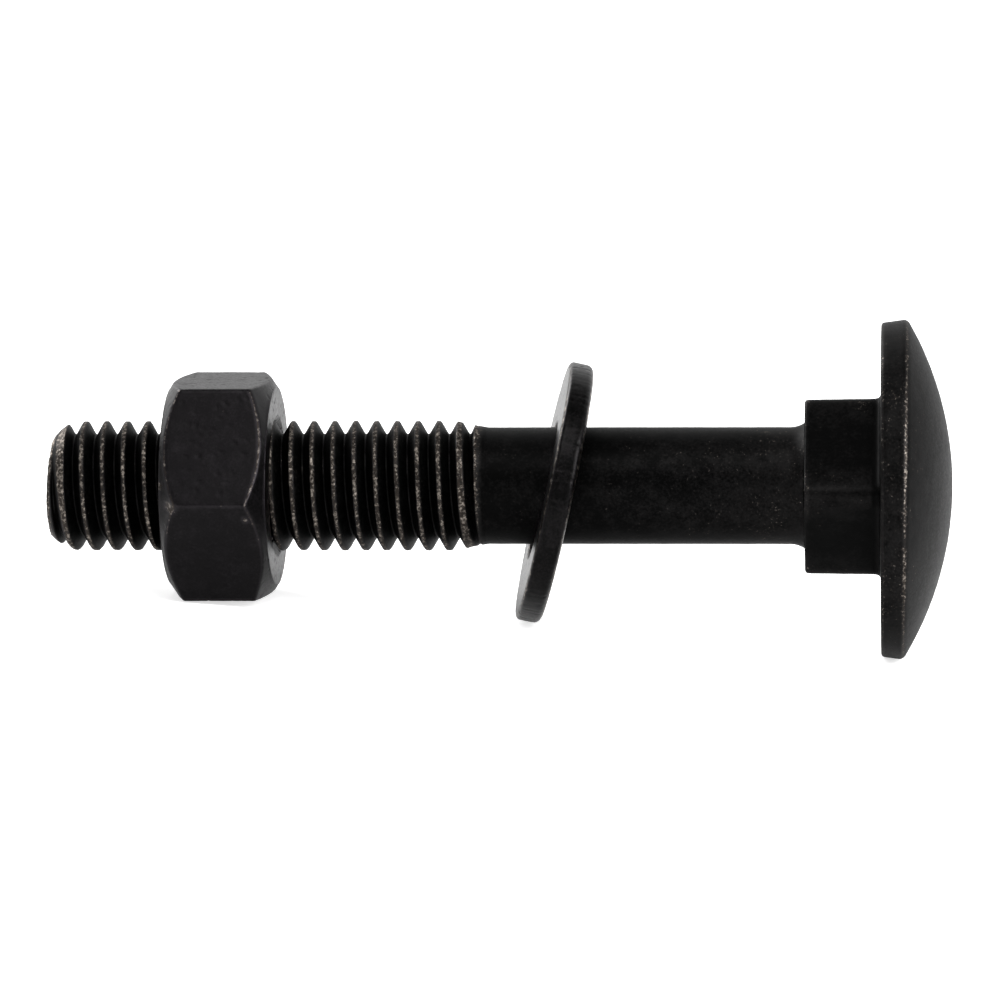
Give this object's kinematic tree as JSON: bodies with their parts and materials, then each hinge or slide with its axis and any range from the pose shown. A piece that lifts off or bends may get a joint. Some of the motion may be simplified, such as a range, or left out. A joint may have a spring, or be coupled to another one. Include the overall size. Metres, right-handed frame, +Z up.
{
  "type": "carriage bolt with nut and washer",
  "caption": "Cup-head, square-neck carriage bolt in black steel, lying with its hexagon nut on the thread and a plain washer on the shank.",
  "frame": {"origin": "on the floor the part lies on, below the middle of its bounding box", "axes": "+X towards the head end, along the bolt as seen from above; +Z up; the bolt's axis rises 5.2 degrees from tip to head in the XZ plane"},
  "size_m": [0.0538, 0.0202, 0.0201],
  "materials": {
    "bolt_steel": "black oxide on cold-headed steel, satin, worn at the crests and rim",
    "nut_steel": "black oxide on cold-forged steel, satin",
    "washer_steel": "black oxide on punched sheet steel, satin"
  },
  "bodies": {
    "bolt": {"bolt": "bolt_steel", "washer": "washer_steel"},
    "nut": {"nut": "nut_steel"}
  },
  "joints": [
    {"name": "nut_travel", "type": "slide", "parent": "bolt", "child": "nut", "axis": [0.9959, 0, 0.0907], "range_m": [-0.01375, 0.01125]}
  ]
}
